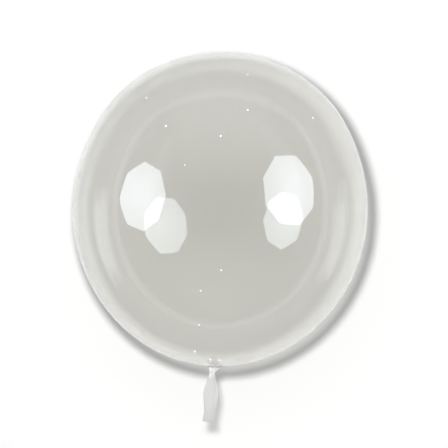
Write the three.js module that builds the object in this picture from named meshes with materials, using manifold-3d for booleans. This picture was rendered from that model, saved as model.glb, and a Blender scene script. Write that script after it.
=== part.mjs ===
// Clear bubble balloon, 590 mm wide and 628 mm long without its tail, lying on its side.
//
// The film is blown from one piece: a nearly round bubble, a throat drawn up into pleats, and
// the flattened tail of the filling neck. The bubble is airtight, so the balloon is one solid.
// Its axis runs along Y, with the crown towards +Y and the tail towards -Y. The origin is the
// middle of the flat spot that the balloon lies on.
import * as THREE from 'three';
import * as BufferGeometryUtils from 'three/addons/utils/BufferGeometryUtils.js';
import Module from 'manifold-3d';

// Bubble
const bubbleHalfWidth = 295;
const bubbleHalfLength = 314;
const crownFullness = 2.08; // exponent of the outline, 2 for an ellipse and more for a fuller curve
const neckFullness = 1.99;
const restDepth = 3; // how far the film is pressed in where the balloon lies

// Throat, from the bubble's shoulder to the pinch
const gatherRadius = 70; // pleats begin to show this far from the axis
const shoulderRadius = 17;
const throatLength = 13.5;
const pinchRadius = 4.5;
const pinchHalfThickness = 3.6;
const pinchOffset = -5; // the pinch sits a little to one side of the bubble's axis
const throatHollow = 1.8; // how strongly the throat's outline curves in

// Pleats round the throat
const pleatCount = 8;
const pleatDepth = 1.3;
const pinchPleatDepth = 0.7;
const pleatTwist = THREE.MathUtils.degToRad(40); // the pleats wind by this much down the throat
const tailPleatLength = 20;

// Tail, with distances measured from the pinch
const tailLength = 100;
const tailWidestAt = 42;
const tailWidestHalf = 15.2;
const tailWaistAt = 80;
const tailWaistHalf = 11.6;
const mouthHalfWidth = 13;
const tailSwell = 0.8; // below 1, the tail opens out sooner after the pinch
const tailHalfThickness = 1.5;
const flatStart = 30; // the tail's two faces are flat and level from here
const flatEnd = 58; // to here
const flatBreadth = 1.35; // more than 1 cuts the top of the section off flat
const mouthHalfThickness = 2.6;
const mouthOffset = -8.5;
const mouthDroop = 7; // how far the mouth hangs below the axis

// Mouth, a shallow pocket between the tail's two lips
const pocketHalfWidth = 11;
const pocketHalfHeight = 1.7;
const pocketDepth = 15;

// Facets
const sides = 64;
const crownRings = 20;
const neckRings = 18;
const gatherRings = 7;
const throatRings = 6;
const tailRings = 16;
const pocketSides = 24;
const pocketRings = 12;

const axisHeight = bubbleHalfWidth - restDepth;

// Half of the angle sweep that a ring of the bubble belongs to, from its radius.
function sweepAt(radius, fullness) {
  return Math.acos((radius / bubbleHalfWidth) ** (fullness / 2));
}

// A point of the bubble's outline. The sweep is 0 at the widest ring and a right angle at a pole.
function bubbleOutline(sweep, fullness) {
  const radius = bubbleHalfWidth * Math.cos(sweep) ** (2 / fullness);
  const along = bubbleHalfLength * Math.sin(sweep) ** (2 / fullness);
  return new THREE.Vector2(radius, along);
}

const shoulderAt = -bubbleOutline(sweepAt(shoulderRadius, neckFullness), neckFullness).y;
const pinchAt = shoulderAt - throatLength;
const mouthAt = pinchAt - tailLength;

const { smoothstep, lerp } = THREE.MathUtils;

// Half of the tail's width at a distance from the pinch.
function tailHalfWidth(distance) {
  if (distance < tailWidestAt) {
    const opened = smoothstep((distance / tailWidestAt) ** tailSwell, 0, 1);
    return lerp(pinchRadius, tailWidestHalf, opened);
  }
  if (distance < tailWaistAt) {
    return lerp(tailWidestHalf, tailWaistHalf, smoothstep(distance, tailWidestAt, tailWaistAt));
  }
  return lerp(tailWaistHalf, mouthHalfWidth, smoothstep(distance, tailWaistAt, tailLength));
}

// Half of the tail's thickness at a distance from the pinch.
function tailHalfDepth(distance) {
  const flattened = lerp(pinchHalfThickness, tailHalfThickness, smoothstep(distance, 0, flatStart));
  const parted = smoothstep(distance, flatEnd, tailLength);
  return lerp(flattened, mouthHalfThickness, parted);
}

// The outline that is turned round the axis, from the middle of the mouth to the crown's pole.
function balloonOutline() {
  const points = [new THREE.Vector2(0, bubbleHalfLength)];
  for (let ring = 1; ring <= crownRings; ring++) {
    points.push(bubbleOutline((Math.PI / 2) * (1 - ring / crownRings), crownFullness));
  }
  const gatherSweep = sweepAt(gatherRadius, neckFullness);
  for (let ring = 1; ring <= neckRings; ring++) {
    const point = bubbleOutline((gatherSweep * ring) / neckRings, neckFullness);
    points.push(new THREE.Vector2(point.x, -point.y));
  }
  for (let ring = 1; ring <= gatherRings; ring++) {
    const radius = lerp(gatherRadius, shoulderRadius, ring / gatherRings);
    const point = bubbleOutline(sweepAt(radius, neckFullness), neckFullness);
    points.push(new THREE.Vector2(point.x, -point.y));
  }
  for (let ring = 1; ring <= throatRings; ring++) {
    const down = ring / throatRings;
    const radius = lerp(pinchRadius, shoulderRadius, (1 - down) ** throatHollow);
    points.push(new THREE.Vector2(radius, shoulderAt - throatLength * down));
  }
  for (let ring = 1; ring <= tailRings; ring++) {
    const distance = (tailLength * ring) / tailRings;
    points.push(new THREE.Vector2(tailHalfWidth(distance), pinchAt - distance));
  }
  points.push(new THREE.Vector2(0, mouthAt));
  return points.reverse();
}

// How deep the pleats are at a place along the axis.
function pleatDepthAt(along, radius) {
  if (along > shoulderAt) {
    return pleatDepth * (1 - smoothstep(radius, shoulderRadius, gatherRadius));
  }
  if (along > pinchAt) {
    return lerp(pinchPleatDepth, pleatDepth, (along - pinchAt) / throatLength);
  }
  return pinchPleatDepth * (1 - smoothstep(pinchAt - along, 0, tailPleatLength));
}

// Moves a point of the turned shape to where the gathered film lies.
function gatherPoint(point) {
  const radius = Math.hypot(point.x, point.z);
  const along = point.y;
  if (along >= 0 || radius > gatherRadius) {
    return point;
  }
  const down = THREE.MathUtils.clamp((shoulderAt - along) / throatLength, 0, 1);
  const outward = smoothstep(down, 0, 1); // the pleats stand off the film, which turns down the throat
  const turn = Math.atan2(point.x, point.z);
  const pleated = pleatDepthAt(along, radius) * Math.cos(pleatCount * turn + pleatTwist * down);
  const reach = radius > 0 ? radius + pleated * outward : 0;
  point.x = reach * Math.sin(turn) + pinchOffset * outward;
  point.y -= pleated * (1 - outward);
  point.z = reach * Math.cos(turn);
  if (down === 1) {
    const distance = pinchAt - along;
    const share = distance / tailLength;
    const breadth = lerp(1, flatBreadth, smoothstep(distance, 0, flatStart));
    const level = radius > 0 ? THREE.MathUtils.clamp((point.z / radius) * breadth, -1, 1) : 0;
    const droop = mouthDroop * Math.max(0, (distance - flatEnd) / (tailLength - flatEnd)) ** 2;
    point.x += (mouthOffset - pinchOffset) * share;
    point.z = level * tailHalfDepth(distance) - droop;
  } else {
    point.z *= lerp(1, pinchHalfThickness / pinchRadius, down);
  }
  return point;
}

// The turned outline, with its throat gathered and its tail flattened, lying along Y.
function filmGeometry() {
  const geometry = new THREE.LatheGeometry(balloonOutline(), sides);
  const position = geometry.attributes.position;
  const point = new THREE.Vector3();
  for (let index = 0; index < position.count; index++) {
    point.fromBufferAttribute(position, index);
    gatherPoint(point);
    position.setXYZ(index, point.x, point.y, point.z);
  }
  return geometry.translate(0, 0, axisHeight);
}

// The space between the tail's lips, half of it inside the tail.
function pocketGeometry() {
  const geometry = new THREE.SphereGeometry(1, pocketSides, pocketRings);
  geometry.scale(pocketHalfWidth, pocketDepth, pocketHalfHeight);
  return geometry.translate(mouthOffset, mouthAt, axisHeight - mouthDroop);
}

// The slab below the floor that flattens the spot the balloon lies on.
function floorGeometry() {
  const slab = new THREE.BoxGeometry(bubbleHalfWidth, bubbleHalfWidth, bubbleHalfWidth);
  return slab.translate(0, 0, -bubbleHalfWidth / 2);
}

const wasm = await Module();
wasm.setup();

// A closed geometry as a solid that can be cut.
function toSolid(geometry) {
  geometry.deleteAttribute('normal');
  geometry.deleteAttribute('uv');
  const merged = BufferGeometryUtils.mergeVertices(geometry, 1e-3);
  const corners = merged.index.array;
  const kept = [];
  for (let start = 0; start < corners.length; start += 3) {
    const [a, b, c] = corners.slice(start, start + 3);
    if (a !== b && b !== c && c !== a) {
      kept.push(a, b, c);
    }
  }
  return new wasm.Manifold(
    new wasm.Mesh({
      numProp: 3,
      vertProperties: new Float32Array(merged.attributes.position.array),
      triVerts: new Uint32Array(kept),
    }),
  );
}

// A solid as geometry with flat normals.
function toGeometry(solid) {
  const mesh = solid.getMesh();
  const geometry = new THREE.BufferGeometry();
  geometry.setAttribute('position', new THREE.BufferAttribute(mesh.vertProperties, 3));
  geometry.setIndex(new THREE.BufferAttribute(mesh.triVerts, 1));
  geometry.computeVertexNormals();
  return geometry;
}

const clearFilm = new THREE.MeshStandardMaterial({
  color: 0xdedfd9,
  roughness: 0.08,
  metalness: 0,
  transparent: true,
  opacity: 0.35,
});

const resting = toSolid(filmGeometry()).subtract(toSolid(floorGeometry()));
const film = new THREE.Mesh(toGeometry(resting.subtract(toSolid(pocketGeometry()))), clearFilm);
film.name = 'balloon_film';

const balloon = new THREE.Group();
balloon.add(film);

export default balloon;
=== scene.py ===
"""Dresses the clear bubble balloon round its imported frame, on a plain pale floor in soft studio light.

The balloon lies on its side with its crown towards +Y, and the camera looks down on it. All sizes
are in metres.
"""

from __future__ import annotations

import logging
import math
import random
from dataclasses import dataclass, field
from enum import Enum

import bmesh
import bpy
import numpy as np
from mathutils import Matrix, Vector


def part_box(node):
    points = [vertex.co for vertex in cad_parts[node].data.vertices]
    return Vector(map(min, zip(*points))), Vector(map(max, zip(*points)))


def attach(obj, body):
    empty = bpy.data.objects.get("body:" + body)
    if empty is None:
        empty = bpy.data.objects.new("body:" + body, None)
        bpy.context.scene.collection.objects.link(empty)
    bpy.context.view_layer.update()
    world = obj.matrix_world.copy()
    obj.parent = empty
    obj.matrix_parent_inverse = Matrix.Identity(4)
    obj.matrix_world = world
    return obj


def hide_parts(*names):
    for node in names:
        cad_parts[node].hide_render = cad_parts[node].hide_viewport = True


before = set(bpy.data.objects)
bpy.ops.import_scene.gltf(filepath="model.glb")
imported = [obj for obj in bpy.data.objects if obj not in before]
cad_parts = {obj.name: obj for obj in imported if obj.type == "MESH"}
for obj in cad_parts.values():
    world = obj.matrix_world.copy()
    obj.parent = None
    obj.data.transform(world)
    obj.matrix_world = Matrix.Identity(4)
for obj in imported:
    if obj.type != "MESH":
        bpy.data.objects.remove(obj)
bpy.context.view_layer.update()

NODE = "balloon_film"
BODY = "root"
PHOTO_SIDE = 448  # pixels along each side of the photograph
TINY = 1e-12  # keeps a division by a length away from zero
PLAIN_FACING = 0.5  # the Layer Weight setting at which Facing isn't bent
LAMP_MIDDLE = (0.5, 0.5, 0.0)  # of an area lamp's own coordinates, which go from 0 to 1
SPECK_SEED = 8
HIDDEN_SPECKS = 8  # on the lower half of the film
SPECK_REACH = (0.06, 0.24)  # how far those lie from the middle
SPECK_WIDTH = (0.0018, 0.003)

logging.basicConfig(level=logging.INFO, format="%(message)s")
log = logging.getLogger("balloon")

Socket = bpy.types.NodeSocket
Value = float | int | tuple | Socket


def ease(value: np.ndarray, low: float, high: float) -> np.ndarray:
    """Rises smoothly from 0 at low to 1 at high.

    Args:
        value: Where to read the curve.
        low: Where it leaves 0.
        high: Where it reaches 1.

    Returns:
        The curve's height at each value.
    """
    share = np.clip((value - low) / (high - low), 0.0, 1.0)
    return share * share * (3.0 - 2.0 * share)


def mixed(first: np.ndarray, second: np.ndarray, share: np.ndarray) -> np.ndarray:
    """Goes in a straight line from first to second as share goes from 0 to 1."""
    return first + (second - first) * share


class Wiring:
    """Adds nodes to one node tree and joins them."""

    def __init__(self, tree: bpy.types.NodeTree) -> None:
        """Starts with an empty tree.

        Args:
            tree: The node tree, whose nodes are cleared.
        """
        self.tree = tree
        self.tree.nodes.clear()

    def add(
        self,
        kind: str,
        inputs: dict[str | int, Value] | None = None,
        **settings: object,
    ) -> bpy.types.Node:
        """Adds one node.

        Args:
            kind: The node's type.
            inputs: A value or a socket for each named or numbered input.
            **settings: Values of the node's own properties.

        Returns:
            The new node.
        """
        node = self.tree.nodes.new(kind)
        for name, setting in settings.items():
            setattr(node, name, setting)
        for key, value in (inputs or {}).items():
            if isinstance(value, bpy.types.NodeSocket):
                self.tree.links.new(value, node.inputs[key])
            else:
                node.inputs[key].default_value = value
        return node

    def math(self, operation: str, first: Value, second: Value = 0.0) -> Socket:
        """Adds a Math node and gives its output."""
        return self.add("ShaderNodeMath", {0: first, 1: second}, operation=operation).outputs[0]

    def vector(self, operation: str, first: Value, second: Value = (0.0, 0.0, 0.0)) -> Socket:
        """Adds a Vector Math node and gives its output."""
        return self.add("ShaderNodeVectorMath", {0: first, 1: second}, operation=operation).outputs[0]

    def ramp(self, value: Value, low: float, high: float, at_low: float, at_high: float) -> Socket:
        """Adds a smooth Map Range node.

        Args:
            value: What is mapped.
            low: The value that gives at_low.
            high: The value that gives at_high.
            at_low: The output at low.
            at_high: The output at high.

        Returns:
            The mapped value's socket.
        """
        limits = {"Value": value, "From Min": low, "From Max": high, "To Min": at_low, "To Max": at_high}
        return self.add("ShaderNodeMapRange", limits, interpolation_type="SMOOTHSTEP").outputs[0]

    def blend(self, share: Value, first: Value, second: Value) -> Socket:
        """Adds a colour Mix node.

        Args:
            share: How much of the second colour shows.
            first: The colour at 0.
            second: The colour at 1.

        Returns:
            The mixed colour's socket.
        """
        node = self.add("ShaderNodeMix", {"Factor": share}, data_type="RGBA")
        for name, colour in (("A", first), ("B", second)):
            socket = next(s for s in node.inputs if s.name == name and s.type == "RGBA")
            if isinstance(colour, bpy.types.NodeSocket):
                self.tree.links.new(colour, socket)
            else:
                socket.default_value = colour
        return next(s for s in node.outputs if s.type == "RGBA")

    def shine(self, strength: Socket) -> None:
        """Ends a lamp's nodes.

        Args:
            strength: How strongly each place of the lamp shines.
        """
        shader = self.add("ShaderNodeEmission", {"Strength": strength})
        out = self.add("ShaderNodeOutputLight")
        self.tree.links.new(shader.outputs[0], out.inputs[0])


@dataclass
class HazeGroup:
    """Faint clouds and stretch lines in blown film, as a node group that each film finish uses."""

    axis_height: float
    name: str = "film_haze"
    cloud_scale: float = 4.0
    line_scale: float = 14.0
    line_length: float = 2.0
    cloud_detail: float = 4.0
    line_detail: float = 2.0
    cloud_from: float = 0.35
    line_from: float = 0.4
    full_at: float = 0.7

    def sockets(self, tree: bpy.types.NodeTree) -> None:
        """Args:
            tree: The group's node tree.
        """
        starts = {
            "Cloud Scale": self.cloud_scale,
            "Line Scale": self.line_scale,
            "Line Length": self.line_length,
        }
        for name, start in starts.items():
            socket = tree.interface.new_socket(name, in_out="INPUT", socket_type="NodeSocketFloat")
            socket.default_value = start
        for name in ("Cloud", "Lines"):
            tree.interface.new_socket(name, in_out="OUTPUT", socket_type="NodeSocketFloat")

    def build(self) -> bpy.types.NodeTree:
        """Makes the group once.

        Returns:
            The group, with Cloud and Lines going out as values from 0 to 1.
        """
        if self.name in bpy.data.node_groups:
            return bpy.data.node_groups[self.name]
        tree = bpy.data.node_groups.new(self.name, "ShaderNodeTree")
        self.sockets(tree)
        wiring = Wiring(tree)
        given = wiring.add("NodeGroupInput")
        place = wiring.add("ShaderNodeTexCoord").outputs["Object"]
        centred = wiring.vector("SUBTRACT", place, (0.0, 0.0, self.axis_height))
        cloud = wiring.add(
            "ShaderNodeTexNoise",
            {"Vector": centred, "Scale": given.outputs["Cloud Scale"], "Detail": self.cloud_detail},
        )
        around = wiring.vector("NORMALIZE", wiring.vector("MULTIPLY", centred, (1.0, 0.0, 1.0)))
        scaled = wiring.add(
            "ShaderNodeVectorMath",
            {0: around, "Scale": given.outputs["Line Scale"]},
            operation="SCALE",
        ).outputs[0]
        along = wiring.vector("MULTIPLY", centred, (0.0, 1.0, 0.0))
        stretched = wiring.add(
            "ShaderNodeVectorMath",
            {0: along, "Scale": given.outputs["Line Length"]},
            operation="SCALE",
        ).outputs[0]
        drawn = wiring.vector("ADD", scaled, stretched)
        lines = wiring.add(
            "ShaderNodeTexNoise",
            {"Vector": drawn, "Scale": 1.0, "Detail": self.line_detail},
        )
        out = wiring.add("NodeGroupOutput")
        clouded = wiring.ramp(cloud.outputs[0], self.cloud_from, self.full_at, 0.0, 1.0)
        lined = wiring.ramp(lines.outputs[0], self.line_from, self.full_at, 0.0, 1.0)
        tree.links.new(clouded, out.inputs["Cloud"])
        tree.links.new(lined, out.inputs["Lines"])
        return tree


@dataclass(frozen=True)
class FilmFinish:
    """One finish of the film: how clear, how milky and how lined it is, with a second tone towards the
    neck that is milk on the clear film and painted shade on the gathered film's tail.
    """

    name: str
    clear: tuple[float, float, float, float]
    # the second tone: milk on the clear film, and on the gathered film a darker grey that is painted
    # shade down its tail
    milky_and_shaded: tuple[float, float, float, float]
    transmission: float
    ior: float
    smooth: float  # its roughness where it is clear
    hazed: float  # and where it is milky
    cloud_scale: float
    line_scale: float
    line_length: float
    cloud_share: float
    line_share: float
    relief: float  # how high the clouds and lines stand
    neck_from: float  # along Y, the second tone begins here: milk on the clear film, painted shade on the gathered tail
    neck_to: float  # and is full here
    let_through: tuple[float, float, float, float]  # what passes of a lamp's light
    let_through_edge: tuple[float, float, float, float]  # and where it only grazes the film
    edge_from: float = 0.62  # Layer Weight's Facing, where grazing begins
    edge_to: float = 0.80

    def build(self, haze: HazeGroup) -> bpy.types.Material:
        """Makes the material.

        Args:
            haze: The group of clouds and stretch lines.

        Returns:
            The finished material.
        """
        material = bpy.data.materials.new(self.name)
        material.use_nodes = True
        wiring = Wiring(material.node_tree)
        texture = wiring.add("ShaderNodeGroup", node_tree=haze.build())
        texture.inputs["Cloud Scale"].default_value = self.cloud_scale
        texture.inputs["Line Scale"].default_value = self.line_scale
        texture.inputs["Line Length"].default_value = self.line_length
        place = wiring.add("ShaderNodeTexCoord").outputs["Object"]
        along = wiring.add("ShaderNodeSeparateXYZ", {0: place}).outputs["Y"]
        # Towards the neck the colour goes over to the second tone, which on the gathered film paints its
        # tail darker as shade against the stronger light there
        neck = wiring.ramp(along, self.neck_from, self.neck_to, 0.0, 1.0)
        clouded = wiring.math("MULTIPLY", texture.outputs["Cloud"], self.cloud_share)
        lined = wiring.math("MULTIPLY", texture.outputs["Lines"], self.line_share)
        milk = wiring.math("ADD", clouded, lined)
        share = wiring.math("MINIMUM", wiring.math("ADD", milk, neck), 1.0)
        height = wiring.math("ADD", texture.outputs["Lines"], texture.outputs["Cloud"])
        bump = wiring.add(
            "ShaderNodeBump",
            {"Height": height, "Distance": self.relief, "Strength": 1.0},
        )
        shader = wiring.add(
            "ShaderNodeBsdfPrincipled",
            {
                "Base Color": wiring.blend(share, self.clear, self.milky_and_shaded),
                "Roughness": wiring.ramp(share, 0.0, 1.0, self.smooth, self.hazed),
                "IOR": self.ior,
                "Transmission Weight": self.transmission,
                "Normal": bump.outputs["Normal"],
            },
        )
        surface = self.lit_behind(wiring, shader.outputs["BSDF"])
        out = wiring.add("ShaderNodeOutputMaterial")
        material.node_tree.links.new(surface, out.inputs["Surface"])
        return material

    def lit_behind(self, wiring: Wiring, shader: Socket) -> Socket:
        """Lets lamps light what lies behind the film, less so where their light only grazes it.

        Args:
            wiring: The material's nodes.
            shader: The film's own shader.

        Returns:
            The shader for the material's surface.
        """
        ray = wiring.add("ShaderNodeLightPath").outputs
        facing = wiring.add("ShaderNodeLayerWeight", {"Blend": PLAIN_FACING}).outputs["Facing"]
        edge = wiring.ramp(facing, self.edge_from, self.edge_to, 0.0, 1.0)
        colour = wiring.blend(edge, self.let_through, self.let_through_edge)
        passing = wiring.add("ShaderNodeBsdfTransparent", {"Color": colour}).outputs[0]
        for kind in ("Is Diffuse Ray", "Is Shadow Ray"):
            shader = wiring.add("ShaderNodeMixShader", {0: ray[kind], 1: shader, 2: passing}).outputs[0]
        return shader


CLEAR_FILM = FilmFinish(
    name="clear_film",
    clear=(0.98, 0.98, 0.965, 1.0),
    milky_and_shaded=(0.97, 0.97, 0.96, 1.0),
    transmission=1.0,
    ior=1.5,
    smooth=0.0,
    hazed=0.05,
    cloud_scale=4.0,
    line_scale=14.0,
    line_length=2.0,
    cloud_share=0.2,
    line_share=0.15,
    relief=0.0,
    neck_from=-0.300,
    neck_to=-0.316,
    let_through=(0.851, 0.848, 0.833, 1.0),
    let_through_edge=(0.52, 0.52, 0.52, 1.0),
)
GATHERED_FILM = FilmFinish(
    name="gathered_film",
    clear=(0.95, 0.95, 0.945, 1.0),
    # painted shade: the tail is this much darker than the throat, against the stronger light that falls
    # on it
    milky_and_shaded=(0.5, 0.5, 0.495, 1.0),
    transmission=0.15,
    ior=1.5,
    smooth=0.16,
    hazed=0.34,
    cloud_scale=60.0,
    line_scale=9.0,
    line_length=12.0,
    cloud_share=0.12,
    line_share=0.12,
    relief=0.00015,
    neck_from=-0.316,
    neck_to=-0.345,
    let_through=(0.8, 0.8, 0.8, 1.0),
    let_through_edge=(0.6, 0.6, 0.6, 1.0),
)


class Zone(Enum):
    """The stretches of the film, from the crown to the mouth."""

    BUBBLE = "bubble"
    THROAT = "throat"
    TAIL = "tail"


@dataclass
class Ring:
    """One ring of the film, before it is gathered."""

    zone: Zone
    radius: float
    along: float


@dataclass
class FilmShape:
    """The form of the film: a round bubble, a pleated throat and a flattened tail."""

    half_width: float
    half_length: float
    axis_height: float
    crown_fullness: float = 2.08  # the outline's exponent, 2 for an ellipse and more for a fuller curve
    neck_fullness: float = 1.99
    fuller_from: float = math.radians(16.0)  # the crown half is an ellipse up to here
    fuller_to: float = math.radians(45.0)  # and has its full exponent from here
    gather_radius: float = 0.070  # the broad pleats begin this far from the axis
    shoulder_radius: float = 0.017
    throat_length: float = 0.0150
    throat_hollow: float = 1.2  # how strongly the throat's outline curves in
    pinch_radius: float = 0.0045
    pinch_half_thickness: float = 0.0036
    pinch_offset: float = -0.005  # the pinch sits a little to one side of the axis
    pleat_count: int = 8
    pleat_depth: float = 0.0009
    pinch_pleat_depth: float = 0.0007
    pleat_twist: float = math.radians(40.0)  # the pleats wind by this much down the throat
    tail_pleat_length: float = 0.020
    tail_length: float = 0.100
    tail_widest_at: float = 0.042
    tail_widest_half: float = 0.0152
    tail_waist_at: float = 0.080
    tail_waist_half: float = 0.0116
    tail_swell: float = 0.8  # below 1, the tail opens out sooner after the pinch
    mouth_half_width: float = 0.013
    tail_half_thickness: float = 0.0015
    tail_fullness: float = 0.72  # below 1, the tail's section is flatter than an ellipse
    mouth_half_thickness: float = 0.0026
    flat_start: float = 0.030
    flat_end: float = 0.058
    mouth_offset: float = -0.0085
    mouth_droop: float = 0.007  # how far the mouth hangs below the axis

    @property
    def shoulder_at(self) -> float:
        """Where the bubble ends and the throat begins, along Y."""
        sweep = self.sweep(self.shoulder_radius, self.neck_fullness)
        return -self.outline(sweep, self.neck_fullness)[1]

    @property
    def pinch_at(self) -> float:
        """Where the throat is narrowest, along Y."""
        return self.shoulder_at - self.throat_length

    def sweep(self, radius: float, fullness: float) -> float:
        """The angle of the outline at which the bubble has this radius."""
        return math.acos((radius / self.half_width) ** (fullness / 2.0))

    def crown_fullness_at(self, sweep: float) -> float:
        """The crown half's exponent, which is an ellipse's by the widest ring and grows from there."""
        share = float(ease(np.array(sweep), self.fuller_from, self.fuller_to))
        return mixed(2.0, self.crown_fullness, share)

    def outline(self, sweep: float, fullness: float) -> tuple[float, float]:
        """A point of the bubble's outline.

        Args:
            sweep: 0 at the widest ring and a right angle at a pole.
            fullness: The outline's exponent, 2 for an ellipse.

        Returns:
            The radius and the distance from the widest ring.
        """
        radius = self.half_width * max(math.cos(sweep), 0.0) ** (2.0 / fullness)
        return radius, self.half_length * math.sin(sweep) ** (2.0 / fullness)

    def on_bubble(self, across: float, along: float, upper: bool) -> tuple[Vector, Vector]:
        """Finds a place on the bubble's film from above.

        Args:
            across: The place along X.
            along: The place along Y.
            upper: Whether it is on the upper half of the film.

        Returns:
            The place, and the way out of the bubble there.
        """
        share = abs(along) / self.half_length
        fullness = self.crown_fullness_at(math.asin(share)) if along > 0.0 else self.neck_fullness
        radius = self.half_width * (1.0 - share**fullness) ** (1.0 / fullness)
        rise = math.sqrt(radius**2 - across**2) * (1.0 if upper else -1.0)
        steep = share ** (fullness - 1.0) / self.half_length
        round_part = (radius / self.half_width) ** (fullness - 1.0) / self.half_width / radius
        outward = Vector((across * round_part, math.copysign(steep, along), rise * round_part))
        return Vector((across, along, self.axis_height + rise)), outward.normalized()

    def tail_half_width(self, distance: float) -> float:
        """Works out half of the tail's width.

        Args:
            distance: How far down the tail, from the pinch.

        Returns:
            Half of the width there.
        """
        if distance < self.tail_widest_at:
            opened = float(ease(np.array((distance / self.tail_widest_at) ** self.tail_swell), 0.0, 1.0))
            return mixed(self.pinch_radius, self.tail_widest_half, opened)
        if distance < self.tail_waist_at:
            share = float(ease(np.array(distance), self.tail_widest_at, self.tail_waist_at))
            return mixed(self.tail_widest_half, self.tail_waist_half, share)
        share = float(ease(np.array(distance), self.tail_waist_at, self.tail_length))
        return mixed(self.tail_waist_half, self.mouth_half_width, share)

    def tail_half_depth(self, distance: np.ndarray) -> np.ndarray:
        """Works out half of the tail's thickness.

        Args:
            distance: How far down the tail, from the pinch.

        Returns:
            Half of the thickness there.
        """
        flat = ease(distance, 0.0, self.flat_start)
        flattened = mixed(self.pinch_half_thickness, self.tail_half_thickness, flat)
        parted = ease(distance, self.flat_end, self.tail_length)
        return mixed(flattened, self.mouth_half_thickness, parted)


@dataclass(frozen=True)
class Speck:
    """A speck of unmelted gel that stands out of the blown film."""

    across: float
    along: float
    width: float = 0.0036
    stretch: float = 1.2  # its length as a share of its width
    height: float = 0.4  # its thickness as a share of its width
    upper: bool = True


def gel_specks() -> list[Speck]:
    """Lists the specks of gel.

    Returns:
        The ones that the photograph shows, and a few on the lower half of the film.
    """
    shown = [
        Speck(-0.143, 0.200),
        Speck(-0.102, 0.144),
        Speck(-0.003, 0.127),
        Speck(0.043, 0.249),
        Speck(0.044, 0.178, width=0.0042),
        Speck(0.166, 0.173),
        Speck(-0.064, 0.073, width=0.0026),
        Speck(0.006, -0.110, width=0.0026),
        Speck(-0.029, -0.149, width=0.0028),
        Speck(-0.031, -0.214, width=0.0042),
        Speck(-0.039, -0.271, width=0.0056, stretch=2.4, height=0.6),
        Speck(-0.0085, -0.292, width=0.0068, stretch=4.6, height=0.8),
        Speck(0.0080, -0.293, width=0.0064, stretch=4.4, height=0.8),
    ]
    chance = random.Random(SPECK_SEED)
    hidden = []
    for _ in range(HIDDEN_SPECKS):
        way = chance.uniform(0.0, 2.0 * math.pi)
        reach = chance.uniform(*SPECK_REACH)
        width = chance.uniform(*SPECK_WIDTH)
        hidden.append(Speck(reach * math.cos(way), reach * math.sin(way), width, upper=False))
    return shown + hidden


@dataclass(frozen=True)
class Fan:
    """A fan of fine pleats that run further up the bubble than their neighbours."""

    way: float  # the angle round the axis of its middle
    narrowness: int
    share: float  # of the longest pleats' reach


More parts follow.
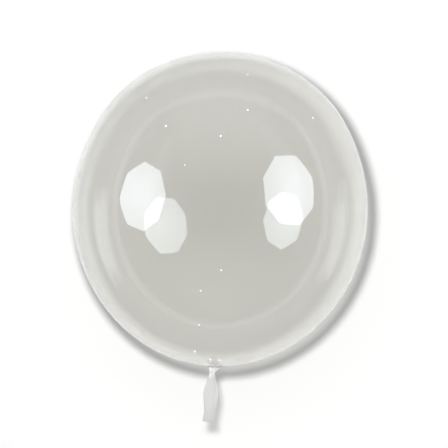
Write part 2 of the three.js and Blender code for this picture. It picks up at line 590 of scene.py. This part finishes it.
@dataclass
class BalloonFilm:
    """The one blown piece of film, with its outer and inner faces and its open lips."""

    shape: FilmShape
    clear: FilmFinish
    gathered: FilmFinish
    haze: HazeGroup
    specks: list[Speck]
    name: str = "film_bubble"
    sides: int = 288
    crown_rings: int = 36
    neck_rings: int = 26
    gather_rings: int = 34
    throat_rings: int = 14
    tail_rings: int = 36
    film_thickness: float = 0.00025
    tail_film: float = 0.00045
    thin_from: float = -0.3  # along Y, the film is as thin as the bubble's from here on
    gather_from: float = 0.130
    pleats: int = 36
    crest_sharpness: int = 3
    crest_middle: float = 0.3  # the height on a crest that counts as the film's smooth form
    pleat_height: float = 0.0006
    pleat_height_at_shoulder: float = 0.0003
    pleat_thinning: float = 0.5  # how much lower the fine pleats are at the pinch
    pleat_winding: float = 0.5  # the fine pleats wind this much of the broad ones' twist
    pleat_run: float = 2.2  # they run this much further down the tail than the broad ones
    pleat_reach: float = 0.036
    long_pleat_reach: float = 0.088
    tall_at: float = 0.5  # shares of the reach: here the fine pleats are at their full height
    low_from: float = 0.6  # here they begin to sink
    low_to: float = 1.1  # and here they are gone
    reach_spread: float = 0.25
    reach_waves: int = 5
    reach_turn: float = 0.9
    fans: tuple[Fan, ...] = (Fan(0.0, 60, 1.0), Fan(2.3, 40, 0.45), Fan(-2.6, 24, 0.6))
    milky_radius: float = 0.0165
    milky_tips: float = 0.003
    wrinkles: int = 61
    wrinkle_height: float = 0.00012
    wrinkle_turn: float = 1.3
    speck_sides: int = 10
    speck_rings: int = 7
    tail_fold_at: float = 0.039
    tail_fold_depth: float = 0.0006
    tail_fold_length: float = 0.0018
    tail_roll: float = math.radians(7.0)

    def rings(self) -> list[Ring]:
        """Lists the film's rings.

        Returns:
            The rings from the one next to the crown's pole to the mouth.
        """
        shape = self.shape
        found = []
        for step in range(1, self.crown_rings + 1):
            sweep = math.pi / 2.0 * (1.0 - step / self.crown_rings)
            found.append(Ring(Zone.BUBBLE, *shape.outline(sweep, shape.crown_fullness_at(sweep))))
        last = shape.sweep(self.gather_from, shape.neck_fullness)
        for step in range(1, self.neck_rings + 1):
            radius, along = shape.outline(last * step / self.neck_rings, shape.neck_fullness)
            found.append(Ring(Zone.BUBBLE, radius, -along))
        for step in range(1, self.gather_rings + 1):
            radius = mixed(self.gather_from, shape.shoulder_radius, step / self.gather_rings)
            along = shape.outline(shape.sweep(radius, shape.neck_fullness), shape.neck_fullness)[1]
            found.append(Ring(Zone.BUBBLE, radius, -along))
        for step in range(1, self.throat_rings + 1):
            down = step / self.throat_rings
            wide = (1.0 - down) ** shape.throat_hollow
            radius = mixed(shape.pinch_radius, shape.shoulder_radius, wide)
            found.append(Ring(Zone.THROAT, radius, shape.shoulder_at - shape.throat_length * down))
        for step in range(1, self.tail_rings + 1):
            distance = shape.tail_length * step / self.tail_rings
            found.append(Ring(Zone.TAIL, shape.tail_half_width(distance), shape.pinch_at - distance))
        return found

    def crests(self, turn: np.ndarray) -> np.ndarray:
        """How close each angle round the axis is to the crest of a fine pleat, from 0 to 1."""
        return (0.5 - 0.5 * np.cos(self.pleats * turn)) ** self.crest_sharpness

    def reaches(self, turn: np.ndarray) -> np.ndarray:
        """Works out how far the fine pleats run up the bubble, which differs round the neck.

        Args:
            turn: The angle round the axis.

        Returns:
            How far from the axis they end at each angle.
        """
        further = np.zeros_like(turn)
        for fan in self.fans:
            further = further + fan.share * np.maximum(np.cos(turn - fan.way), 0.0) ** fan.narrowness
        uneven = 1.0 + self.reach_spread * np.cos(self.reach_waves * turn + self.reach_turn)
        return self.pleat_reach * uneven + self.long_pleat_reach * further

    def folds(self, radius: np.ndarray, along: np.ndarray, turn: np.ndarray) -> np.ndarray:
        """How far the film stands off its smooth form in the pleats round the throat.

        Args:
            radius: Each ring's radius.
            along: Each ring's place along Y.
            turn: The angle round the axis.

        Returns:
            The height of the pleats at each ring and angle.
        """
        shape = self.shape
        down = np.clip((shape.shoulder_at - along) / shape.throat_length, 0.0, 1.0)
        distance = np.maximum(shape.pinch_at - along, 0.0)
        neck_side = (along < 0.0).astype(float)
        wound = shape.pleat_twist * down
        # The broad pleats
        spread = neck_side * (1.0 - ease(radius, shape.shoulder_radius, shape.gather_radius))
        depth = mixed(shape.pleat_depth, shape.pinch_pleat_depth, down)
        broad = depth * np.where(down > 0.0, 1.0, spread)
        broad = broad * (1.0 - ease(distance, 0.0, shape.tail_pleat_length))
        height = broad * np.cos(shape.pleat_count * turn + wound)
        # The fine pleats
        reach = self.reaches(turn)
        tail_share = 1.0 - ease(distance, 0.0, self.pleat_run * shape.tail_pleat_length)
        opened = ease(radius, shape.shoulder_radius, self.tall_at * reach + shape.shoulder_radius)
        tall = mixed(self.pleat_height_at_shoulder, self.pleat_height, opened)
        tall = tall * neck_side * (1.0 - ease(radius, self.low_from * reach, self.low_to * reach))
        in_throat = self.pleat_height_at_shoulder * (1.0 - self.pleat_thinning * down)
        tall = np.where(down > 0.0, in_throat, tall) * tail_share
        fine = tall * (self.crests(turn + self.pleat_winding * wound) - self.crest_middle)
        # The wrinkles
        near = neck_side * (1.0 - ease(radius, shape.shoulder_radius, self.gather_from)) ** 2
        wrinkled = np.cos(self.wrinkles * turn - wound + self.wrinkle_turn)
        small = self.wrinkle_height * near * wrinkled
        return height + fine + small * tail_share

    def gathered_faces(self, rings: list[Ring], turn: np.ndarray) -> np.ndarray:
        """Picks the faces that are gathered and milky: the throat, the tail and the pleats' crests.

        Args:
            rings: The film's rings, each for the faces above it.
            turn: The angle in the middle of each face.

        Returns:
            True for each gathered face, by ring and by side.
        """
        radius = np.array([ring.radius for ring in rings])[:, None]
        neck_side = np.array([ring.along < 0.0 for ring in rings])[:, None]
        tips = self.milky_radius + self.milky_tips * self.crests(turn)
        in_tail = np.array([ring.zone is Zone.TAIL for ring in rings])[:, None]
        return in_tail | (neck_side & (radius < tips))

    def outer_face(self) -> np.ndarray:
        """Works out the film's outer face.

        Returns:
            The points by ring and by side, from the crown to the mouth.
        """
        shape = self.shape
        rings = self.rings()
        radius = np.array([ring.radius for ring in rings])[:, None]
        along = np.array([ring.along for ring in rings])[:, None]
        in_tail = np.array([ring.zone is Zone.TAIL for ring in rings])[:, None]
        turn = np.linspace(0.0, 2.0 * math.pi, self.sides, endpoint=False)[None, :]
        down = np.clip((shape.shoulder_at - along) / shape.throat_length, 0.0, 1.0)
        outward = ease(down, 0.0, 1.0)
        height = self.folds(radius, along, turn)
        reach = radius + height * outward
        across = reach * np.sin(turn) + shape.pinch_offset * outward
        up = reach * np.cos(turn) * mixed(1.0, shape.pinch_half_thickness / shape.pinch_radius, down)
        lengthwise = along - height * (1.0 - outward)
        distance = np.maximum(shape.pinch_at - along, 0.0)
        share = distance / shape.tail_length
        level = reach / radius * np.cos(turn)
        power = mixed(1.0, shape.tail_fullness, ease(distance, 0.0, shape.flat_start))
        level = np.sign(level) * np.abs(level) ** power
        flat = level * shape.tail_half_depth(distance)
        fold = np.exp(-(((distance - self.tail_fold_at) / self.tail_fold_length) ** 2))
        flat = flat - self.tail_fold_depth * fold * np.abs(np.cos(turn))
        roll = self.tail_roll * np.sin(2.0 * math.pi * share) * in_tail
        beyond = np.maximum(0.0, (distance - shape.flat_end) / (shape.tail_length - shape.flat_end))
        droop = shape.mouth_droop * beyond**2
        width = reach * np.sin(turn)
        drift = shape.pinch_offset + (shape.mouth_offset - shape.pinch_offset) * share
        across = np.where(in_tail, width * np.cos(roll) + flat * np.sin(roll) + drift, across)
        up = np.where(in_tail, flat * np.cos(roll) - width * np.sin(roll) - droop, up)
        raised = np.maximum(up + shape.axis_height, 0.0)
        lengthwise = np.broadcast_to(lengthwise, across.shape)
        return np.stack([across, lengthwise, raised], axis=-1)

    def inner_face(self, outer: np.ndarray) -> np.ndarray:
        """Works out the film's inner face, one film thickness inside the outer one.

        Args:
            outer: The outer face's points by ring and by side.

        Returns:
            The inner face's points, in the same order.
        """
        down_film = np.gradient(outer, axis=0)
        round_film = np.roll(outer, -1, axis=1) - np.roll(outer, 1, axis=1)
        inward = np.cross(down_film, round_film)
        length = np.linalg.norm(inward, axis=-1, keepdims=True)
        inward = inward / np.maximum(length, TINY)
        middle = outer.mean(axis=1, keepdims=True)
        towards = np.sum(inward * (middle - outer), axis=-1, keepdims=True)
        facing = np.sign(towards.mean(axis=1, keepdims=True))
        along = outer[:, :, 1:2].mean(axis=1, keepdims=True)
        thicker = 1.0 - ease(along, self.shape.pinch_at, self.thin_from)
        return outer + inward * facing * mixed(self.film_thickness, self.tail_film, thicker)

    def mesh(self) -> bpy.types.Mesh:
        """Builds the closed mesh.

        Returns:
            The mesh, from the crown, over the lips and back inside to the crown.
        """
        outer = self.outer_face()
        inner = self.inner_face(outer)
        lip = (outer[-1] + inner[-1]) / 2.0
        lip[:, 1] -= self.tail_film / 2.0
        rows = np.concatenate([outer, lip[None], inner[::-1]])
        crown = Vector((0.0, self.shape.half_length, self.shape.axis_height))
        inside = crown - Vector((0.0, self.film_thickness, 0.0))
        rings = self.rings()
        turn = (np.arange(self.sides) + 0.5) / self.sides * 2.0 * math.pi
        gathered = self.gathered_faces(rings, turn)
        gathered = np.concatenate([gathered, gathered[-1:], gathered[::-1]])
        shell = bmesh.new()
        grid = [[shell.verts.new(point) for point in row] for row in rows]
        for upper, lower, milky_and_shaded in zip(grid, grid[1:], gathered[1:]):
            for side in range(self.sides):
                after = (side + 1) % self.sides
                face = shell.faces.new((upper[side], lower[side], lower[after], upper[after]))
                face.smooth = True
                face.material_index = int(milky_and_shaded[side])
        for pole, row, flip in ((crown, grid[0], False), (inside, grid[-1], True)):
            tip = shell.verts.new(pole)
            for side in range(self.sides):
                corners = [tip, row[side], row[(side + 1) % self.sides]]
                face = shell.faces.new(corners[::-1] if flip else corners)
                face.smooth = True
        for speck in self.specks:
            self.add_speck(shell, speck)
        bmesh.ops.recalc_face_normals(shell, faces=shell.faces)
        mesh = bpy.data.meshes.new(self.name)
        shell.to_mesh(mesh)
        shell.free()
        return mesh

    def add_speck(self, shell: bmesh.types.BMesh, speck: Speck) -> None:
        """Adds one speck of gel to the film's outer face.

        Args:
            shell: The film's mesh.
            speck: The speck and its place.
        """
        place, outward = self.shape.on_bubble(speck.across, speck.along, speck.upper)
        turn = outward.to_track_quat("Z", "Y").to_matrix().to_4x4()
        half = Vector((speck.width, speck.width * speck.stretch, speck.width * speck.height)) / 2.0
        stance = Matrix.Translation(place) @ turn @ Matrix.Diagonal((*half, 1.0))
        ways = [2.0 * math.pi * side / self.speck_sides for side in range(self.speck_sides)]
        rows = []
        for step in range(1, self.speck_rings):
            rise = math.pi * step / self.speck_rings
            flat, up = math.sin(rise), math.cos(rise)
            points = [Vector((flat * math.cos(way), flat * math.sin(way), up)) for way in ways]
            rows.append([shell.verts.new(stance @ point) for point in points])
        corners = []
        for upper, lower in zip(rows, rows[1:]):
            for side in range(self.speck_sides):
                after = (side + 1) % self.speck_sides
                corners.append((upper[side], lower[side], lower[after], upper[after]))
        corners.append(rows[0])
        corners.append(rows[-1][::-1])
        for ring in corners:
            face = shell.faces.new(ring)
            face.smooth = True
            face.material_index = 1

    def build(self) -> bpy.types.Object:
        """Builds and dresses the film.

        Returns:
            The film's object, which stands for the CAD solid.
        """
        piece = bpy.data.objects.new(self.name, self.mesh())
        bpy.context.scene.collection.objects.link(piece)
        piece.data.materials.append(self.clear.build(self.haze))
        piece.data.materials.append(self.gathered.build(self.haze))
        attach(piece, BODY)
        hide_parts(NODE)
        return piece


class Side(Enum):
    """Which side of the balloon a lamp stands on, seen by the camera."""

    LEFT = "left"
    RIGHT = "right"


def hide_from(lamp: bpy.types.Object, *rays: str) -> None:
    """Keeps a lamp out of sight of some rays.

    Args:
        lamp: The lamp's object.
        *rays: The kinds of ray that don't meet it.
    """
    for ray in rays:
        setattr(lamp, f"visible_{ray}", False)


def light_only(lamp: bpy.types.Object, piece: bpy.types.Object) -> None:
    """Lets a lamp light nothing but one piece.

    Args:
        lamp: The lamp's object.
        piece: The only piece that it lights.
    """
    lit = bpy.data.collections.new(f"lit_by_{lamp.name}")
    lit.objects.link(piece)
    lamp.light_linking.receiver_collection = lit


@dataclass
class Softbox:
    """An eight-sided softbox, as an area lamp whose corners are masked off."""

    side: Side
    place: Vector
    aim: float  # the way it faces, turned from +X
    dip: float  # and how far that looks up or down
    roll: float
    radius: float
    radiance: float = 5.1
    edge_share: float = 0.8  # how bright its edge is beside its middle
    half_side: float = math.radians(22.5)  # half of one of its eight sides, seen from the middle
    colour: tuple[float, float, float] = (0.89, 0.96, 1.03)

    def build(self) -> None:
        """Sets up the lamp."""
        lamp = bpy.data.lights.new(f"softbox_{self.side.value}", "AREA")
        lamp.shape = "DISK"
        lamp.size = 2.0 * self.radius
        lamp.energy = self.radiance * math.pi * math.pi * self.radius**2
        lamp.color = self.colour
        lamp.use_nodes = True
        self.mask(lamp.node_tree)
        holder = bpy.data.objects.new(lamp.name, lamp)
        bpy.context.scene.collection.objects.link(holder)
        holder.matrix_world = self.stance()
        hide_from(holder, "camera", "diffuse")

    def stance(self) -> Matrix:
        """Works out how the lamp stands.

        Returns:
            Its place and turn, with a corner of its outline on its own X axis.
        """
        level_share = math.cos(self.dip)
        across, along = math.cos(self.aim), math.sin(self.aim)
        ahead = Vector((level_share * across, level_share * along, math.sin(self.dip)))
        level = Vector((0.0, 0.0, 1.0)).cross(ahead).normalized()
        rising = ahead.cross(level)
        first = level * math.cos(self.roll) + rising * math.sin(self.roll)
        back = -ahead
        second = back.cross(first)
        turn = Matrix((first, second, back)).transposed().to_4x4()
        return Matrix.Translation(self.place) @ turn

    def mask(self, tree: bpy.types.NodeTree) -> None:
        """Lights only the eight-sided part of the disc, a little brighter in its middle.

        Args:
            tree: The lamp's node tree.
        """
        wiring = Wiring(tree)
        spot = wiring.add("ShaderNodeNewGeometry").outputs["Parametric"]
        centred = wiring.vector("SUBTRACT", spot, LAMP_MIDDLE)
        scaled = wiring.vector("ABSOLUTE", wiring.vector("MULTIPLY", centred, (2.0, 2.0, 0.0)))
        near, far = math.sin(self.half_side), math.cos(self.half_side)
        reaches = []
        for flank in ((far, near, 0.0), (near, far, 0.0)):
            dot = wiring.add("ShaderNodeVectorMath", {0: scaled, 1: flank}, operation="DOT_PRODUCT")
            reaches.append(dot.outputs["Value"])
        reach = wiring.math("MAXIMUM", *reaches)
        inside = wiring.math("LESS_THAN", reach, far)
        glow = wiring.ramp(reach, 0.0, far, 1.0, self.edge_share)
        wiring.shine(wiring.math("MULTIPLY", inside, glow))


@dataclass
class Strip:
    """A long low softbox standing beside the balloon, seen only as a pale band in the film."""

    side: Side
    away: float = 1.2
    along: float = -0.30
    middle: float = 0.24  # the height of its middle above the floor
    length: float = 1.05
    height: float = 0.34
    radiance: float = 1.0
    slope: float = math.radians(7.0)
    core_height: float = 0.38  # it is evenly bright this far from its middle, as a share of its height
    core_length: float = 0.25  # and the same along its length

    def build(self) -> None:
        """Sets up the lamp."""
        hand = -1.0 if self.side is Side.LEFT else 1.0
        lamp = bpy.data.lights.new(f"strip_{self.side.value}", "AREA")
        lamp.shape = "RECTANGLE"
        lamp.size = self.height
        lamp.size_y = self.length
        lamp.energy = self.radiance * math.pi * self.height * self.length
        lamp.use_nodes = True
        self.fade(lamp.node_tree)
        holder = bpy.data.objects.new(lamp.name, lamp)
        place = Matrix.Translation((hand * self.away, self.along, self.middle))
        facing = Matrix.Rotation(hand * math.pi / 2.0, 4, "Y")
        holder.matrix_world = place @ facing @ Matrix.Rotation(hand * self.slope, 4, "Z")
        bpy.context.scene.collection.objects.link(holder)
        hide_from(holder, "camera", "diffuse", "transmission")

    def fade(self, tree: bpy.types.NodeTree) -> None:
        """Lets the light fall off softly towards the strip's ends and its long edges.

        Args:
            tree: The lamp's node tree.
        """
        wiring = Wiring(tree)
        spot = wiring.add("ShaderNodeNewGeometry").outputs["Parametric"]
        centred = wiring.vector("ABSOLUTE", wiring.vector("SUBTRACT", spot, LAMP_MIDDLE))
        reach = wiring.add("ShaderNodeSeparateXYZ", {0: centred}).outputs
        lengthwise = wiring.ramp(reach["Y"], self.core_length, 0.5, 1.0, 0.0)
        upwards = wiring.ramp(reach["X"], self.core_height, 0.5, 1.0, 0.0)
        wiring.shine(wiring.math("MULTIPLY", lengthwise, upwards))


@dataclass
class Spot:
    """A small round lamp which lights what is matt but doesn't mirror in the film."""

    name: str
    place: Vector
    target: Vector
    radius: float
    cone: float
    level: float  # how bright it makes a white floor at its target
    edge: float = 0.6

    def build(self) -> bpy.types.Object:
        """Sets up the lamp, aimed at its target.

        Returns:
            The lamp's object.
        """
        lamp = bpy.data.lights.new(self.name, "SPOT")
        lamp.shadow_soft_size = self.radius
        lamp.spot_size = self.cone
        lamp.spot_blend = self.edge
        lamp.energy = self.level * 4.0 * math.pi**2 * (self.place - self.target).length_squared
        holder = bpy.data.objects.new(lamp.name, lamp)
        holder.location = self.place
        holder.rotation_euler = (self.target - self.place).to_track_quat("-Z", "Y").to_euler()
        bpy.context.scene.collection.objects.link(holder)
        hide_from(holder, "camera", "glossy", "transmission")
        return holder


@dataclass
class Studio:
    """The plain pale floor, the soft surround, the lamps and the camera."""

    axis_height: float
    half_width: float
    floor_side: float = 60.0
    floor_gap: float = 0.0005
    # painted shade near the middle and painted light far out, which even out the overhead spot's pool on
    # the floor
    floor_painted_shade_near: tuple[float, float, float, float] = (0.80, 0.80, 0.795, 1.0)
    floor_painted_light_far: tuple[float, float, float, float] = (0.90, 0.90, 0.895, 1.0)
    floor_near_to: float = 0.34  # the near tone, painted shade, reaches this far from the origin
    floor_far_from: float = 0.80
    grain_scale: float = 3.0
    grain_detail: float = 3.0
    grain_from: float = 0.3
    grain_to: float = 0.7
    rough_from: float = 0.85
    rough_to: float = 0.95
    camera_distance: float = 2.2
    bubble_half_pixels: float = 147.55  # half of the bubble's width in the photograph
    bubble_pixel: tuple[float, float] = (220.3, 209.8)  # column and row of the bubble's middle
    lean: float = math.radians(1.92)
    sensor: float = 36.0  # in millimetres, as the lens is
    zenith: float = 0.37
    horizon: float = 0.34
    glow: float = 0.38
    glow_rise: float = math.radians(36.0)  # the height of its middle above the horizon
    glow_reach: float = math.radians(46.0)
    softboxes: list[Softbox] = field(default_factory=list)
    spots: list[Spot] = field(default_factory=list)

    def floor(self) -> None:
        """Lays the floor, which is no part of the balloon, painted darker near the middle and lighter
        far out to even out the overhead spot's pool of light.
        """
        material = bpy.data.materials.new("studio_floor")
        material.use_nodes = True
        wiring = Wiring(material.node_tree)
        settings = {"Scale": self.grain_scale, "Detail": self.grain_detail}
        grain = wiring.add("ShaderNodeTexNoise", settings).outputs[0]
        rough = wiring.ramp(grain, self.grain_from, self.grain_to, self.rough_from, self.rough_to)
        place = wiring.add("ShaderNodeTexCoord").outputs["Object"]
        away = wiring.add("ShaderNodeVectorMath", {0: place}, operation="LENGTH").outputs["Value"]
        # painted shade near the middle, painted light far out
        far = wiring.ramp(away, self.floor_near_to, self.floor_far_from, 0.0, 1.0)
        colour = wiring.blend(far, self.floor_painted_shade_near, self.floor_painted_light_far)
        shader = wiring.add("ShaderNodeBsdfPrincipled", {"Base Color": colour, "Roughness": rough})
        out = wiring.add("ShaderNodeOutputMaterial")
        material.node_tree.links.new(shader.outputs["BSDF"], out.inputs["Surface"])
        ground = bmesh.new()
        half = self.floor_side / 2.0
        corners = [(-half, -half), (half, -half), (half, half), (-half, half)]
        ground.faces.new([ground.verts.new((x, y, -self.floor_gap)) for x, y in corners])
        mesh = bpy.data.meshes.new("studio_floor")
        ground.to_mesh(mesh)
        ground.free()
        mesh.materials.append(material)
        plane = bpy.data.objects.new("studio_floor", mesh)
        bpy.context.scene.collection.objects.link(plane)

    def surround(self) -> None:
        """Lights the room softly all round, with a wide glow beyond the crown."""
        world = bpy.data.worlds.new("studio")
        world.use_nodes = True
        wiring = Wiring(world.node_tree)
        way = wiring.add("ShaderNodeTexCoord").outputs["Generated"]
        height = wiring.add("ShaderNodeSeparateXYZ", {0: way}).outputs["Z"]
        overall = wiring.ramp(height, 0.0, 1.0, self.horizon, self.zenith)
        centre = (0.0, math.cos(self.glow_rise), math.sin(self.glow_rise))
        facing = wiring.add("ShaderNodeVectorMath", {0: way, 1: centre}, operation="DOT_PRODUCT")
        glow = wiring.ramp(facing.outputs["Value"], math.cos(self.glow_reach), 1.0, 0.0, self.glow)
        light = {"Color": (1.0, 1.0, 1.0, 1.0), "Strength": wiring.math("ADD", overall, glow)}
        shader = wiring.add("ShaderNodeBackground", light)
        out = wiring.add("ShaderNodeOutputWorld")
        world.node_tree.links.new(shader.outputs[0], out.inputs["Surface"])
        bpy.context.scene.world = world

    def camera(self) -> None:
        """Sets the camera above the balloon, turned so that the crown leans as in the photograph."""
        distance = self.camera_distance
        seen_half = self.half_width * distance / math.sqrt(distance**2 - self.half_width**2)
        pixel = seen_half / self.bubble_half_pixels
        lens = bpy.data.cameras.new("camera")
        lens.sensor_width = self.sensor
        lens.lens = self.sensor * distance / (PHOTO_SIDE * pixel)
        right = Vector((math.cos(self.lean), math.sin(self.lean), 0.0))
        upward = Vector((-math.sin(self.lean), math.cos(self.lean), 0.0))
        column, row = self.bubble_pixel
        middle = PHOTO_SIDE / 2.0
        place = right * (middle - column) * pixel + upward * (row - middle) * pixel
        eye = bpy.data.objects.new("camera", lens)
        eye.location = place + Vector((0.0, 0.0, self.axis_height + distance))
        eye.rotation_euler = (0.0, 0.0, self.lean)
        bpy.context.scene.collection.objects.link(eye)
        bpy.context.scene.camera = eye

    def build(self) -> dict[str, bpy.types.Object]:
        """Sets up the whole studio.

        Returns:
            The spots' objects by their names.
        """
        self.floor()
        self.surround()
        for softbox in self.softboxes:
            softbox.build()
        for side in Side:
            Strip(side).build()
        lamps = {spot.name: spot.build() for spot in self.spots}
        self.camera()
        bpy.context.scene.view_settings.view_transform = "Standard"
        bpy.context.scene.cycles.blur_glossy = 0.0
        return lamps


def measured_shape() -> FilmShape:
    """Reads the film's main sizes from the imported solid."""
    low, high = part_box(NODE)
    return FilmShape(half_width=high.x, half_length=high.y, axis_height=high.z - high.x)


def softboxes() -> list[Softbox]:
    """Lists the two softboxes.

    Returns:
        The one high at the left and the one high at the right.
    """
    left = Softbox(
        Side.LEFT,
        place=Vector((-2.078, 0.223, 1.558)),
        aim=math.radians(-10.6),
        dip=math.radians(-38.2),
        roll=math.radians(-12.0),
        radius=0.868,
    )
    right = Softbox(
        Side.RIGHT,
        place=Vector((1.664, 0.436, 1.62)),
        aim=math.radians(-157.1),
        dip=math.radians(-42.9),
        roll=math.radians(-6.3),
        radius=0.836,
    )
    return [left, right]


def spots() -> list[Spot]:
    """Lists the two spots.

    Returns:
        The lamp overhead that makes the shadow, and the weak one for the neck.
    """
    overhead = Spot(
        "overhead",
        place=Vector((-0.055, 0.06, 2.1)),
        target=Vector((0.03, 0.20, 0.0)),
        radius=0.06,
        cone=math.radians(67.0),
        level=0.92,
    )
    neck_light = Spot(
        "neck_light",
        place=Vector((0.1, -0.9, 1.3)),
        target=Vector((-0.004, -0.315, 0.3)),
        radius=0.1,
        cone=math.radians(10.0),
        level=0.22,
    )
    return [overhead, neck_light]


def main() -> None:
    """Builds the studio and the balloon, and reports each piece."""
    shape = measured_shape()
    studio = Studio(shape.axis_height, shape.half_width, softboxes=softboxes(), spots=spots())
    lamps = studio.build()
    haze = HazeGroup(shape.axis_height)
    film = BalloonFilm(shape, CLEAR_FILM, GATHERED_FILM, haze, gel_specks()).build()
    light_only(lamps["neck_light"], film)
    log.info("%s: %d faces", film.name, len(film.data.polygons))


if __name__ == "__main__":
    main()
